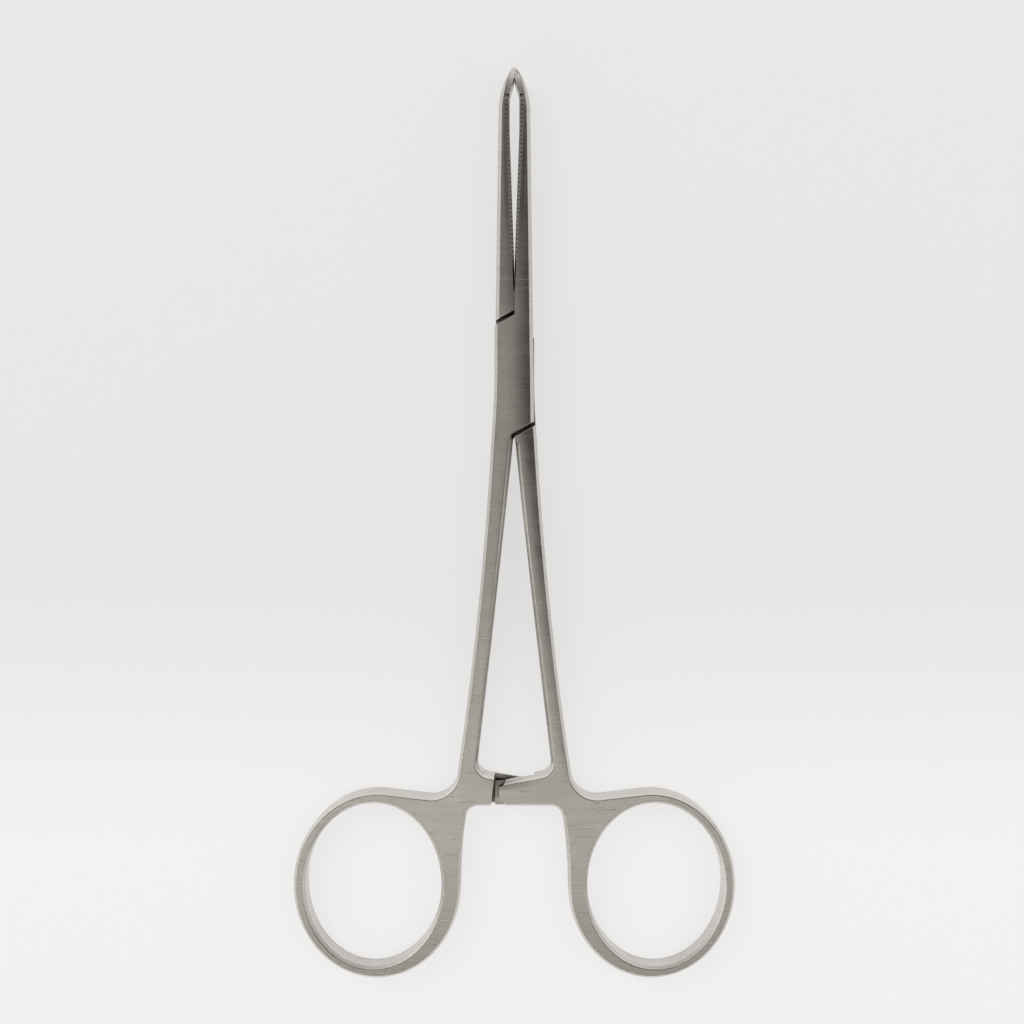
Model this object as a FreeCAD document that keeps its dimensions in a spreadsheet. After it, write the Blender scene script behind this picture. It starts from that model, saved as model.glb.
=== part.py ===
import FreeCAD, Part
import math
import os
import Sketcher

# Straight hemostat forceps with a box lock, finger rings, a ratchet and serrated jaws, in
# millimetres. The instrument lies flat: X runs across the rings, +Y to the tips, +Z up.
# The origin is on the pivot axis, at the underside of the box lock, on which it rests.

DRIVING_SIZES = [
    # Box lock: the slotted box, its two cheeks and the pivot
    ("box_half_width", 3.05, "from the pivot axis to either side of the box lock"),
    ("box_thickness", 4.4, "over both cheeks"),
    ("box_flat_margin", 0.9, "from the slot's inner corner to where the arms start to thin"),
    ("cheek_thickness", 1.2, "of each cheek of the slotted arm"),
    ("blade_clearance", 0.04, "between the inner arm's blade and each cheek"),
    ("shoulder_height", 7.3, "from the pivot to a cheek's slanted end, at its low side"),
    ("shoulder_rise", 0.56, "of a slanted cheek end, for each millimetre across"),
    ("shoulder_gap", 0.6, "between a cheek's end and the inner arm's shoulder"),
    ("slot_wall_height", 6.0, "from the pivot to the slot's end wall, at its near side"),
    ("slot_wall_fall", 1.42, "of the slot's end wall, for each millimetre across"),
    ("slot_wall_gap", 0.45, "between the slot's end wall and the blade"),
    ("pin_diameter", 2.6, "of the pivot pin"),
    ("pin_clearance", 0.04, "all round the pin in the inner arm's bore"),
    # Jaws
    ("tip_reach", 47.2, "from the pivot to the tip"),
    ("tip_thickness", 2.3, "of the tip"),
    ("tip_half_width", 0.45, "from the middle line to the tip's corner"),
    ("tip_corner", 0.15, "from the tip back to that corner"),
    ("nose_length", 6.7, "from the tip back to where the jaw's side turns in"),
    ("nose_half_width", 2.45, "from the middle line to the jaw's side there"),
    ("jaw_parting", 0.03, "from the middle line to each jaw's closed face"),
    ("jaw_closed_run", 5.669, "from the slot's inner corner to where the closed jaws start to part"),
    ("jaw_lead", 0.18, "from the middle line to each jaw's face, where they start to bow apart"),
    ("jaw_lead_run", 10.669, "from the slot's inner corner to there"),
    ("jaw_bow", 0.75, "from the middle line to each jaw's face, where they are widest apart"),
    ("jaw_bow_length", 5.65, "over which they stay so"),
    ("jaw_bow_setback", 4.2, "from the tip back to where they start to close"),
    ("tip_closing_setback", 1.7, "from the tip back to where the jaws meet again"),
    ("grip_bevel", 0.8, "along the jaw's inner edges, at its widest near the tip"),
    ("grip_bevel_start", 0.3, "of that bevel at the first groove"),
    ("grip_bevel_fall", 0.45, "of that bevel, for each millimetre of its width"),
    ("throat_width", 0.23, "of the steep bevel between the box and the first groove"),
    ("throat_depth", 0.6, "of that steep bevel"),
    ("throat_start", 2.269, "from the slot's inner corner to where it starts"),
    ("throat_end", 3.0, "from the first groove up to where it has run out"),
    ("jaw_plain_run", 6.769, "from the slot's inner corner to the first groove"),
    ("serration_pitch", 0.67, "of the grooves across the jaw's face"),
    ("serration_width", 0.62, "of a groove's mouth, off the face"),
    ("serration_depth", 0.4, "of the groove nearest to the box"),
    ("serration_gain", 0.45, "by which the grooves grow deeper towards the tip"),
    ("hook_reach", 0.6, "of the tip's hook teeth, past the middle line"),
    ("hook_root", 0.4, "by which they reach into the jaw"),
    ("hook_setback", 0.9, "from the tip back to the points of those teeth"),
    ("hook_half_length", 0.75, "of a hook tooth's root, along the jaw"),
    ("hook_thickness", 0.7, "of the middle hook tooth"),
    ("hook_gap", 0.08, "round the hook teeth when the tips are shut"),
    # Shanks
    ("crotch_half_gap", 0.12, "from the middle line to each shank at the box"),
    ("shank_root_half_width", 3.45, "from the middle line to the shank's side at the box"),
    ("shank_end_width", 3.2, "of the shank at the ratchet"),
    ("shank_outer_bow", 0.72, "of the shank's outer side, towards the middle line"),
    ("shank_inner_bow", 0.15, "of the shank's inner side, towards the middle line"),
    ("arm_bevel", 0.55, "along the arm's edges"),
    # Finger rings
    ("ring_reach", 78.4, "from the pivot down to the ring's centre"),
    ("ring_side", 8.25, "from the middle line to the ring's near side"),
    ("ring_hole_width", 20.9, "of the finger hole"),
    ("ring_hole_length", 25.0, "of the finger hole"),
    ("ring_band", 1.8, "of the ring's band, across"),
    ("ring_near_band", 2.95, "of the band on the shank's side"),
    ("ring_thickness", 3.2, "of the finger rings and the ratchet"),
    ("ring_bevel", 0.45, "along the finger hole's edges"),
    ("neck_step", 1.1, "from the ring's near side out to the shank's outer side"),
    ("neck_drop", 1.3, "from the ring's top down to where the shank meets it"),
    ("neck_radius", 4.0, "between the shank and the ring"),
    ("neck_inset", 1.05, "from the ring's near side in to the corner below the ratchet"),
    # Ratchet
    ("ratchet_drop", 2.2, "from the ring's top down to the bar's lower side"),
    ("ratchet_root_depth", 5.3, "of the bar at the shank"),
    ("ratchet_end_depth", 3.7, "of the bar at its end"),
    ("ratchet_overlap", 2.35, "of each bar past the middle line"),
    ("ratchet_step", 3.6, "from the middle line to the step where the bar is halved, at its low end"),
    ("ratchet_step_lean", 0.45, "by which the step leans in over the bar's depth"),
    ("ratchet_root_radius", 2.0, "between the bar and the shank"),
    ("ratchet_end_radius", 0.9, "of the bar's end corners"),
    ("ratchet_clearance", 0.05, "from the middle plane to each bar's tooth crests"),
    ("ratchet_tooth_depth", 0.4, "of the ratchet teeth"),
    ("ratchet_tooth_pitch", 1.6, "of the ratchet teeth"),
    ("ratchet_tooth_run", 1.36, "of a ratchet tooth's slope"),
]

RATCHET_TEETH = 3
# where across its mouth a groove is deepest
GROOVE_RAKE = 0.2
# how far a cut's outline runs past the metal
PAST = 1.0
# how far an edge may lie from the corner or line that it is looked for at
NEAR = 0.6
CLOSE = 0.05
# the steepest and the flattest that a wall's and a front's normal may stand to the instrument
UPRIGHT = 0.2
LEVEL = 0.9


class Size:
    """A number that carries the expression which yields it from the sheet."""

    def __init__(self, value, text):
        self.value = float(value)
        self.text = text

    def join(self, sign, other, value):
        return Size(value, "(" + self.text + " " + sign + " " + other.text + ")")

    def __add__(self, other):
        other = as_size(other)
        return self.join("+", other, self.value + other.value)

    def __sub__(self, other):
        other = as_size(other)
        return self.join("-", other, self.value - other.value)

    def __mul__(self, other):
        other = as_size(other)
        return self.join("*", other, self.value * other.value)

    def __truediv__(self, other):
        other = as_size(other)
        return self.join("/", other, self.value / other.value)

    def __radd__(self, other):
        return as_size(other) + self

    def __rsub__(self, other):
        return as_size(other) - self

    def __rmul__(self, other):
        return as_size(other) * self

    def __neg__(self):
        return as_size(-1) * self

    def root(self):
        return Size(math.sqrt(self.value), "sqrt(" + self.text + ")")


def as_size(number):
    """A bare number as a Size."""
    if isinstance(number, Size):
        return number
    return Size(number, repr(float(number)))


doc = FreeCAD.newDocument("hemostat_forceps")
sheet = doc.addObject("Spreadsheet::Sheet", "Sizes")
for row, (alias, number, note) in enumerate(DRIVING_SIZES, start=1):
    sheet.set("A" + str(row), alias.replace("_", " ") + ", " + note)
    sheet.set("B" + str(row), str(number))
    sheet.setAlias("B" + str(row), alias)
doc.recompute()


def size(alias):
    """The driving size of that name."""
    return Size(sheet.get(alias), "Sizes." + alias)


middle = size("box_thickness") / 2
ring_width = size("ring_hole_width") + size("ring_band") + size("ring_near_band")
ring_length = size("ring_hole_length") + 2 * size("ring_band")
ring_x = size("ring_side") + ring_width / 2
ring_y = -size("ring_reach")
ring_top = ring_y + ring_length / 2
hole_x = size("ring_side") + size("ring_near_band") + size("ring_hole_width") / 2
neck_outer = size("ring_side") + size("neck_step")
neck_inner = size("ring_side") - size("neck_inset")
neck_y = ring_top - size("neck_drop")
ratchet_low = ring_top - size("ratchet_drop")
ratchet_top = ratchet_low + size("ratchet_root_depth")
slot_corner = size("slot_wall_height") + size("slot_wall_fall") * size("box_half_width")
flat_y = slot_corner + size("box_flat_margin")
bow_y = size("tip_reach") - size("jaw_bow_setback")
bow_start_y = bow_y - size("jaw_bow_length")
root_y = slot_corner + size("jaw_closed_run")
lead_y = slot_corner + size("jaw_lead_run")
groove_y = slot_corner + size("jaw_plain_run")


class Outline:
    """A closed sketch outline whose every corner and radius is bound to the sheet."""

    def __init__(self, body, name, role, lift=None):
        self.sketch = body.newObject("Sketcher::SketchObject", name)
        self.sketch.AttachmentSupport = (plane_of(body, role), "")
        self.sketch.MapMode = "FlatFace"
        if lift is not None:
            self.sketch.setExpression("AttachmentOffset.Base.z", lift.text)
        self.begin = None
        self.first = None
        self.last = None
        self.here = None
        self.clockwise = set()

    def bind(self, kind, *values):
        """Adds a constraint; its last value is a Size and keeps its expression."""
        number = values[-1]
        index = self.sketch.addConstraint(Sketcher.Constraint(kind, *values[:-1], number.value))
        self.sketch.setExpression("Constraints[" + str(index) + "]", number.text)

    def place(self, edge, end, x, y):
        """Fixes a point of an edge at x, y from the sketch's origin."""
        self.bind("DistanceX", -1, 1, edge, end, x)
        self.bind("DistanceY", -1, 1, edge, end, y)

    def start(self, x, y):
        """Begins a new loop."""
        self.begin = (as_size(x), as_size(y))
        self.here = self.begin
        self.first = None
        self.last = None
        return self

    def add(self, curve, x, y):
        """Adds an edge that ends at x, y and joins it to the one before."""
        edge = self.sketch.addGeometry(curve, False)
        if self.first is None:
            self.first = edge
            self.place(edge, self.start_end(edge)[0], *self.begin)
        else:
            self.sketch.addConstraint(Sketcher.Constraint(
                "Coincident", self.last, self.start_end(self.last)[1], edge, self.start_end(edge)[0]))
        if x is self.begin[0] and y is self.begin[1]:
            self.sketch.addConstraint(Sketcher.Constraint(
                "Coincident", edge, self.start_end(edge)[1], self.first, self.start_end(self.first)[0]))
        else:
            self.place(edge, self.start_end(edge)[1], x, y)
        self.last = edge
        self.here = (x, y)
        return edge

    def start_end(self, edge):
        """Which of an edge's two ends comes first on the way round: an arc runs anticlockwise."""
        return (2, 1) if edge in self.clockwise else (1, 2)

    def line(self, x, y):
        """A straight edge to x, y."""
        x, y = as_size(x), as_size(y)
        self.add(Part.LineSegment(self.point(*self.here), self.point(x, y)), x, y)
        return self

    def arc(self, x, y, radius, centre_on_left):
        """A short arc to x, y of that radius, with its centre on the left or right of the way."""
        x, y, radius = as_size(x), as_size(y), as_size(radius)
        a, b = self.point(*self.here), self.point(x, y)
        chord = b.sub(a)
        rise = math.sqrt(max(radius.value ** 2 - (chord.Length / 2) ** 2, 0))
        left = FreeCAD.Vector(-chord.y, chord.x, 0).normalize()
        centre = (a + b) * 0.5 + left * (rise if centre_on_left else -rise)
        circle = Part.Circle(centre, FreeCAD.Vector(0, 0, 1), radius.value)
        turn_a = math.atan2(a.y - centre.y, a.x - centre.x)
        turn_b = math.atan2(b.y - centre.y, b.x - centre.x)
        if not centre_on_left:
            turn_a, turn_b = turn_b, turn_a
        curve = Part.ArcOfCircle(circle, turn_a, turn_b)
        if not centre_on_left:
            self.clockwise.add(self.sketch.GeometryCount)
        edge = self.add(curve, x, y)
        self.bind("Radius", edge, radius)
        return self

    def close(self):
        """A straight edge back to where the loop began."""
        x, y = self.begin
        self.add(Part.LineSegment(self.point(*self.here), self.point(x, y)), x, y)
        return self

    def circle(self, x, y, radius):
        """A whole circle."""
        x, y = as_size(x), as_size(y)
        circle = Part.Circle(self.point(x, y), FreeCAD.Vector(0, 0, 1), radius.value)
        edge = self.sketch.addGeometry(circle, False)
        self.bind("Radius", edge, radius)
        self.sketch.addConstraint(Sketcher.Constraint("Coincident", edge, 3, -1, 1))
        return self

    def ellipse(self, x, y, half_width, half_length):
        """A whole ellipse, longer along the sketch's second axis."""
        centre = self.point(x, y)
        top = centre + FreeCAD.Vector(0, half_length.value, 0)
        side = centre + FreeCAD.Vector(half_width.value, 0, 0)
        edge = self.sketch.addGeometry(Part.Ellipse(top, side, centre), False)
        self.sketch.exposeInternalGeometry(edge)
        self.place(edge, 3, as_size(x), as_size(y))
        major, minor = edge + 1, edge + 2
        self.sketch.addConstraint(Sketcher.Constraint("Vertical", major))
        self.bind("Distance", major, 2 * half_length)
        self.bind("Distance", minor, 2 * half_width)
        return self

    @staticmethod
    def point(x, y):
        """The sketch's point x, y at the sizes' present values."""
        return FreeCAD.Vector(x.value, y.value, 0)


def plane_of(body, role):
    """The body's own origin plane of that role."""
    return next(part for part in body.Origin.OriginFeatures if part.Role == role)


def add_pad(body, name, outline, length):
    """Pads an outline away from its plane."""
    pad = body.newObject("PartDesign::Pad", name)
    pad.Profile = outline.sketch
    pad.setExpression("Length", length.text)
    doc.recompute()
    return pad


def add_pocket(body, name, outline, length=None, through_both=False):
    """Cuts an outline out of the body, and makes sure that something went."""
    before = body.Shape.Volume
    pocket = body.newObject("PartDesign::Pocket", name)
    pocket.Profile = outline.sketch
    if length is None:
        pocket.Type = "ThroughAll"
        if through_both:
            pocket.SideType = "Symmetric"
    else:
        pocket.setExpression("Length", length.text)
    pocket.Reversed = not through_both
    doc.recompute()
    if pocket.Shape.isNull() or pocket.Shape.Volume >= before - 1e-4:
        raise RuntimeError(name + " cuts nothing")
    return pocket


def bow_radius(x1, y1, x2, y2, bow):
    """The radius of a shallow arc between two points whose middle stands off by bow."""
    chord_squared = (x2 - x1) * (x2 - x1) + (y2 - y1) * (y2 - y1)
    return chord_squared / (8 * bow) + bow / 2


def ring_tangent(x, y):
    """Where a line from x, y outside the ring's outline touches the outline's top."""
    across = (x - ring_x) / (ring_width / 2)
    along = (y - ring_y) / (ring_length / 2)
    square = across * across + along * along
    reach = (square - 1).root()
    touch_x = ring_x + ring_width / 2 * (across + along * reach) / square
    touch_y = ring_y + ring_length / 2 * (along - across * reach) / square
    return touch_x, touch_y


def tangent_radius(across, along):
    """The radius of an arc that leaves a straight edge and ends across and along from there."""
    return (across * across + along * along) / (2 * across)


def draw_plan(body, side, low, slope):
    """The arm from above, without its ring and ratchet bar: up the jaw's inner face, over the
    tip, down the far side of the box and the shank's inner side, and back up its outer side.
    side is -1 where the shank lies left, and 1 where it lies right; the jaw lies opposite. The
    slanted ends at the box start low from the pivot and climb by slope."""
    out = Outline(body, "plan", "XY_Plane")
    jaw = -side
    half = size("box_half_width")
    parting = size("jaw_parting")
    crotch = size("crotch_half_gap")
    crotch_y = -low - slope * (half + crotch)
    tip_y = size("tip_reach")
    out.start(side * half, low)
    out.line(jaw * parting, low + slope * (half + parting))
    out.line(jaw * parting, root_y)
    out.line(jaw * size("jaw_lead"), lead_y)
    out.line(jaw * size("jaw_bow"), bow_start_y)
    out.line(jaw * size("jaw_bow"), bow_y)
    out.line(jaw * parting, tip_y - size("tip_closing_setback"))
    out.line(jaw * parting, tip_y)
    tip_x = size("tip_half_width")
    corner_y = tip_y - size("tip_corner")
    out.line(jaw * tip_x, corner_y)
    nose_x = size("nose_half_width")
    nose_y = tip_y - size("nose_length")
    side_run = ((half - nose_x) * (half - nose_x) + (nose_y + low) * (nose_y + low)).root()
    lean = (half - nose_x) / side_run
    reach = (nose_y + low) / side_run
    across = (nose_x - tip_x) * reach - (corner_y - nose_y) * lean
    along = (nose_x - tip_x) * lean + (corner_y - nose_y) * reach
    out.arc(jaw * nose_x, nose_y, tangent_radius(across, along), jaw < 0)
    out.line(jaw * half, -low)
    out.line(side * crotch, crotch_y)
    end_x = neck_outer - size("shank_end_width")
    end_y = (ratchet_low + ratchet_top) / 2
    bend = bow_radius(crotch, crotch_y, end_x, end_y, size("shank_inner_bow"))
    out.arc(side * end_x, end_y, bend, side > 0)
    out.line(side * neck_inner, ratchet_low)
    near_x = size("ring_side")
    bend = tangent_radius(near_x - neck_inner, ratchet_low - ring_y)
    out.arc(side * near_x, ring_y, bend, side < 0)
    band = size("ring_band")
    out.line(side * (near_x + band), ring_y)
    out.line(side * (ring_x - 2 * band), ring_top - band)
    touch_x, touch_y = ring_tangent(neck_outer, neck_y)
    out.line(side * touch_x, touch_y)
    out.line(side * neck_outer, neck_y)
    root_x = size("shank_root_half_width")
    bend = bow_radius(neck_outer, neck_y, root_x, crotch_y, size("shank_outer_bow"))
    out.arc(side * root_x, crotch_y, bend, side < 0)
    out.arc(side * half, as_size(0), tangent_radius(root_x - half, crotch_y), side < 0)
    out.close()
    return out


def bar_top(x):
    """The height of the ratchet bar's slanted upper side, x from the middle line."""
    run = neck_inner + size("ratchet_overlap")
    slope = (size("ratchet_root_depth") - size("ratchet_end_depth")) / run
    return ratchet_top - slope * (neck_inner - x)


def draw_ratchet(body, side):
    """The ratchet bar, from inside the shank to past the end that it is cut to later."""
    end_x = -size("ratchet_overlap") - PAST
    out = Outline(body, "ratchet_plan", "XY_Plane")
    out.start(side * neck_inner, ratchet_low)
    out.line(side * neck_inner, ratchet_top)
    out.line(side * end_x, bar_top(end_x))
    out.line(side * end_x, ratchet_low)
    out.close()
    return out


def draw_bar_end(body, side):
    """What is cut off the ratchet bar to leave its end plain, with two rounded corners."""
    end_x = -size("ratchet_overlap")
    radius = size("ratchet_end_radius")
    top = bar_top(end_x + radius)
    far_x = end_x - 2 * PAST
    out = Outline(body, "bar_end_plan", "XY_Plane")
    out.start(side * (end_x + radius), ratchet_low - PAST)
    out.line(side * (end_x + radius), ratchet_low)
    out.arc(side * end_x, ratchet_low + radius, radius, side > 0)
    out.line(side * end_x, top - radius)
    out.arc(side * (end_x + radius), top, radius, side > 0)
    out.line(side * (end_x + radius), top + PAST)
    out.line(side * far_x, top + PAST)
    out.line(side * far_x, ratchet_low - PAST)
    out.close()
    return out


def draw_thinning(body):
    """Four wedges off the front and back, as seen from the side: over the jaws and over the
    shanks and rings."""
    out = Outline(body, "side_profile", "YZ_Plane")
    for face in (-1, 1):
        box_z = middle + face * middle
        clear_z = box_z + face * PAST
        tip_z = middle + face * size("tip_thickness") / 2
        arm_z = middle + face * size("ring_thickness") / 2
        tip_y = size("tip_reach")
        out.start(flat_y, box_z)
        out.line(tip_y, tip_z)
        out.line(tip_y + PAST, tip_z)
        out.line(tip_y + PAST, clear_z)
        out.line(flat_y, clear_z)
        out.close()
        end_y = ratchet_top + PAST
        far_y = ring_y - ring_length
        out.start(-flat_y, box_z)
        out.line(end_y, arm_z)
        out.line(far_y, arm_z)
        out.line(far_y, clear_z)
        out.line(-flat_y, clear_z)
        out.close()
    return out


def upright_edges(shape, keep):
    """The names of the upright edges that keep allows."""
    names = []
    for number, edge in enumerate(shape.Edges, start=1):
        ends = [corner.Point for corner in edge.Vertexes]
        if len(ends) != 2 or math.hypot(ends[0].x - ends[1].x, ends[0].y - ends[1].y) > 0.01:
            continue
        if keep(ends[0]):
            names.append("Edge" + str(number))
    return names


def rim_edges(shape, keep):
    """The names of the edges between an upright wall and the front or back, that keep allows."""
    names = []
    for number, edge in enumerate(shape.Edges, start=1):
        faces = shape.ancestorsOfType(edge, Part.Face)
        if len(faces) != 2:
            continue
        corner = edge.Vertexes[0].Point
        tilts = sorted(abs(face.normalAt(*face.Surface.parameter(corner)).z) for face in faces)
        if tilts[0] > UPRIGHT or tilts[1] < LEVEL:
            continue
        first, last = edge.ParameterRange
        if keep(edge.valueAt((first + last) / 2)):
            names.append("Edge" + str(number))
    return names


def dress(body, kind, name, edges, length):
    """A Fillet or Chamfer of that size on the named edges of the body's last feature."""
    base = body.Tip
    feature = body.newObject("PartDesign::" + kind, name)
    feature.Base = (base, edges)
    feature.setExpression("Radius" if kind == "Fillet" else "Size", length.text)
    doc.recompute()
    return feature


def near(place, x, y):
    """Whether a place lies near x, y, seen from above."""
    return math.hypot(place.x - x.value, place.y - y.value) < NEAR


def draw_band(body, name, side, low, slope, lift=None):
    """The region across the box lock between two parallel slanted lines, which start low from
    the pivot at the box's sides and run away from it by slope up to the middle line. Beyond
    that line the region only has to clear the arm."""
    half = size("box_half_width")
    out_x = side * (half + PAST)
    near_y = low - slope * PAST
    middle_y = low + slope * half
    far_y = middle_y + PAST
    out = Outline(body, name, "XY_Plane", lift)
    out.start(out_x, -near_y)
    out.line(as_size(0), -middle_y)
    out.line(as_size(0), -far_y)
    out.line(-out_x, -far_y)
    out.line(-out_x, near_y)
    out.line(as_size(0), middle_y)
    out.line(as_size(0), far_y)
    out.line(out_x, far_y)
    out.close()
    return out


def draw_hook(body, name, toward, grow, lift):
    """A hook tooth at the tip from above, which points along X in the sense of toward."""
    root_x = -toward * size("hook_root")
    point_y = size("tip_reach") - size("hook_setback")
    half = size("hook_half_length") + grow
    out = Outline(body, name, "XY_Plane", lift)
    out.start(root_x, point_y - half)
    out.line(toward * (size("hook_reach") + 1.5 * grow), point_y)
    out.line(root_x, point_y + half)
    out.close()
    return out


def jaw_face(y):
    """How far the jaw's inner face lies from the middle line at y, up to where it closes."""
    if y.value <= root_y.value:
        return size("jaw_parting")
    if y.value <= lead_y.value:
        share = (y - root_y) / (lead_y - root_y)
        return size("jaw_parting") + (size("jaw_lead") - size("jaw_parting")) * share
    if y.value < bow_start_y.value:
        share = (y - lead_y) / (bow_start_y - lead_y)
        return size("jaw_lead") + (size("jaw_bow") - size("jaw_lead")) * share
    return size("jaw_bow")


def cut_edge(body, jaw, face, name, stations):
    """Cuts a bevel of changing width and depth along one of the jaw's inner edges. Each station
    is a y, a width and a depth. face is 1 for the front and -1 for the back."""
    thin = (size("box_thickness") - size("tip_thickness")) / 2 / (size("tip_reach") - flat_y)
    sections = []
    for number, (y, width, depth) in enumerate(stations):
        x = jaw_face(y)
        rim_z = middle + face * (middle - thin * (y - flat_y))
        fall = depth / width
        out = Outline(body, name + "_section" + str(number), "XZ_Plane", -y)
        out.start(jaw * (x - CLOSE), rim_z - face * (depth + fall * CLOSE))
        out.line(jaw * (x + width + CLOSE), rim_z + face * fall * CLOSE)
        out.line(jaw * (x - CLOSE), rim_z + face * fall * CLOSE)
        out.close()
        sections.append(out.sketch)
    loft = body.newObject("PartDesign::SubtractiveLoft", name)
    loft.Profile = sections[0]
    loft.Sections = sections[1:]
    loft.Ruled = True
    doc.recompute()


def cut_grip_edges(body, jaw):
    """Bevels the jaw's inner edges, front and back: a steep bevel at the throat, where the jaws
    stay closed, and a shallow one along the grooves, wider towards the tip."""
    wide, narrow = size("grip_bevel"), size("grip_bevel_start")
    fall = size("grip_bevel_fall")
    share = (bow_start_y - groove_y) / (bow_y - groove_y)
    at_bow = narrow + (wide - narrow) * share
    share = (lead_y - groove_y) / (bow_y - groove_y)
    at_lead = narrow + (wide - narrow) * share
    shallow = (
        (groove_y, narrow, narrow * fall),
        (lead_y, at_lead, at_lead * fall),
        (bow_start_y, at_bow, at_bow * fall),
        (bow_y, wide, wide * fall),
    )
    fine = 2 * CLOSE
    steep = (
        (slot_corner + size("throat_start"), fine, fine),
        (root_y, size("throat_width"), size("throat_depth")),
        (groove_y + size("throat_end"), fine, fine),
    )
    for face, word in ((1, "front"), (-1, "back")):
        cut_edge(body, jaw, face, word + "_throat", steep)
        cut_edge(body, jaw, face, word + "_grip_bevel", shallow)


def draw_serration(body, jaw):
    """The groove nearest to the box, cut straight on its near side and slanting on the other,
    with a construction line for the rest to follow."""
    face_x = jaw_face(groove_y)
    mouth_x = face_x - size("serration_gain") - CLOSE
    width = size("serration_width")
    out = Outline(body, "serration_plan", "XY_Plane")
    out.start(jaw * mouth_x, groove_y)
    out.line(jaw * (face_x + size("serration_depth")), groove_y + width * GROOVE_RAKE)
    out.line(jaw * mouth_x, groove_y + width)
    out.close()
    end_x = size("jaw_bow") + size("serration_gain")
    along = out.sketch.addGeometry(Part.LineSegment(
        out.point(jaw * face_x, groove_y), out.point(jaw * end_x, bow_y)), True)
    out.place(along, 1, jaw * face_x, groove_y)
    out.place(along, 2, jaw * end_x, bow_y)
    return out


def build_arm(name, side, slotted):
    """One arm: a finger ring, shank, half of the box lock and the jaw across from it."""
    body = doc.addObject("PartDesign::Body", name)
    body.Label = name
    jaw = -side
    thick = size("box_thickness")
    half = size("box_half_width")
    if slotted:
        low, slope = size("shoulder_height"), size("shoulder_rise")
    else:
        low, slope = size("slot_wall_height") - size("slot_wall_gap"), size("slot_wall_fall")
    add_pad(body, "forging", draw_plan(body, side, low, slope), thick)
    ring = Outline(body, "ring_plan", "XY_Plane")
    ring.ellipse(side * ring_x, ring_y, ring_width / 2, ring_length / 2)
    add_pad(body, "ring", ring, thick)
    add_pad(body, "ratchet_bar", draw_ratchet(body, side), thick)

    def at_neck(place):
        return near(place, side * neck_outer, neck_y)

    def at_ratchet_root(place):
        between = size("ratchet_step").value < side * place.x < neck_inner.value + NEAR / 2
        at_top = abs(place.y - ratchet_top.value) < NEAR
        return between and (at_top or abs(place.y - ratchet_low.value) < CLOSE)

    dress(body, "Fillet", "neck_fillet", upright_edges(body.Shape, at_neck), size("neck_radius"))
    roots = upright_edges(body.Shape, at_ratchet_root)
    dress(body, "Fillet", "ratchet_root_fillet", roots, size("ratchet_root_radius"))

    add_pocket(body, "thinning", draw_thinning(body), through_both=True)
    hole = Outline(body, "finger_hole_plan", "XY_Plane")
    hole.ellipse(side * hole_x, ring_y, size("ring_hole_width") / 2, size("ring_hole_length") / 2)
    add_pocket(body, "finger_hole", hole)

    def in_hole(place):
        across = abs(place.x - side * hole_x.value) - size("ring_hole_width").value / 2
        along = abs(place.y - ring_y.value) - size("ring_hole_length").value / 2
        return across < CLOSE and along < CLOSE

    def on_slant(place):
        upper_y = low.value + slope.value * (half.value - side * place.x)
        lower_y = -low.value - slope.value * (half.value + side * place.x)
        return min(abs(place.y - upper_y), abs(place.y - lower_y)) < CLOSE

    def on_outline(place):
        on_tip = place.y > size("tip_reach").value - size("tip_corner").value - CLOSE
        on_inner_face = place.y > low.value and abs(place.x) < size("jaw_bow").value + CLOSE
        on_bar_end = side * place.x < CLOSE - size("ratchet_overlap").value - PAST
        on_other = in_hole(place) or on_slant(place) or (on_bar_end and place.y < neck_y.value + NEAR)
        return not (on_tip or on_inner_face or on_other)

    dress(body, "Chamfer", "finger_hole_bevel", rim_edges(body.Shape, in_hole), size("ring_bevel"))
    dress(body, "Chamfer", "arm_bevel", rim_edges(body.Shape, on_outline), size("arm_bevel"))

    half_hook = size("hook_thickness") / 2
    gap = size("hook_gap")
    side_hook = size("tip_thickness") / 2 - half_hook - gap
    if slotted:
        for where, start_z in (("back", None), ("front", middle + half_hook)):
            notch = draw_hook(body, where + "_notch_plan", jaw, gap, start_z)
            add_pocket(body, where + "_notch", notch, middle - half_hook)
        hook = draw_hook(body, "hook_plan", side, as_size(0), middle - half_hook)
        add_pad(body, "hook_tooth", hook, 2 * half_hook)
    else:
        notch = draw_hook(body, "notch_plan", jaw, gap, middle - half_hook - gap)
        add_pocket(body, "notch", notch, 2 * (half_hook + gap))
        back_z = middle - size("tip_thickness") / 2
        back = draw_hook(body, "back_hook_plan", side, as_size(0), back_z)
        add_pad(body, "back_hook_tooth", back, side_hook)
        front = draw_hook(body, "front_hook_plan", side, as_size(0), middle + half_hook + gap)
        add_pad(body, "front_hook_tooth", front, side_hook)

    cut_grip_edges(body, jaw)
    add_pocket(body, "bar_end", draw_bar_end(body, side))

    bore = Outline(body, "bore_plan", "XY_Plane")
    if slotted:
        wall_y, fall = size("slot_wall_height"), size("slot_wall_fall")
        slot = draw_band(body, "slot_plan", side, wall_y, fall, size("cheek_thickness"))
        add_pocket(body, "slot", slot, thick - 2 * size("cheek_thickness"))
        bore.circle(0, 0, size("pin_diameter") / 2)
    else:
        rise = size("shoulder_rise")
        start_y = size("shoulder_height") + size("shoulder_gap") * (1 + rise * rise).root()
        depth = size("cheek_thickness") + size("blade_clearance")
        back = draw_band(body, "back_recess_plan", side, start_y, rise)
        add_pocket(body, "back_recess", back, depth)
        front = draw_band(body, "front_recess_plan", side, start_y, rise, thick - depth)
        add_pocket(body, "front_recess", front, depth)
        bore.circle(0, 0, size("pin_diameter") / 2 + size("pin_clearance"))
    add_pocket(body, "pin_bore", bore)

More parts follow.
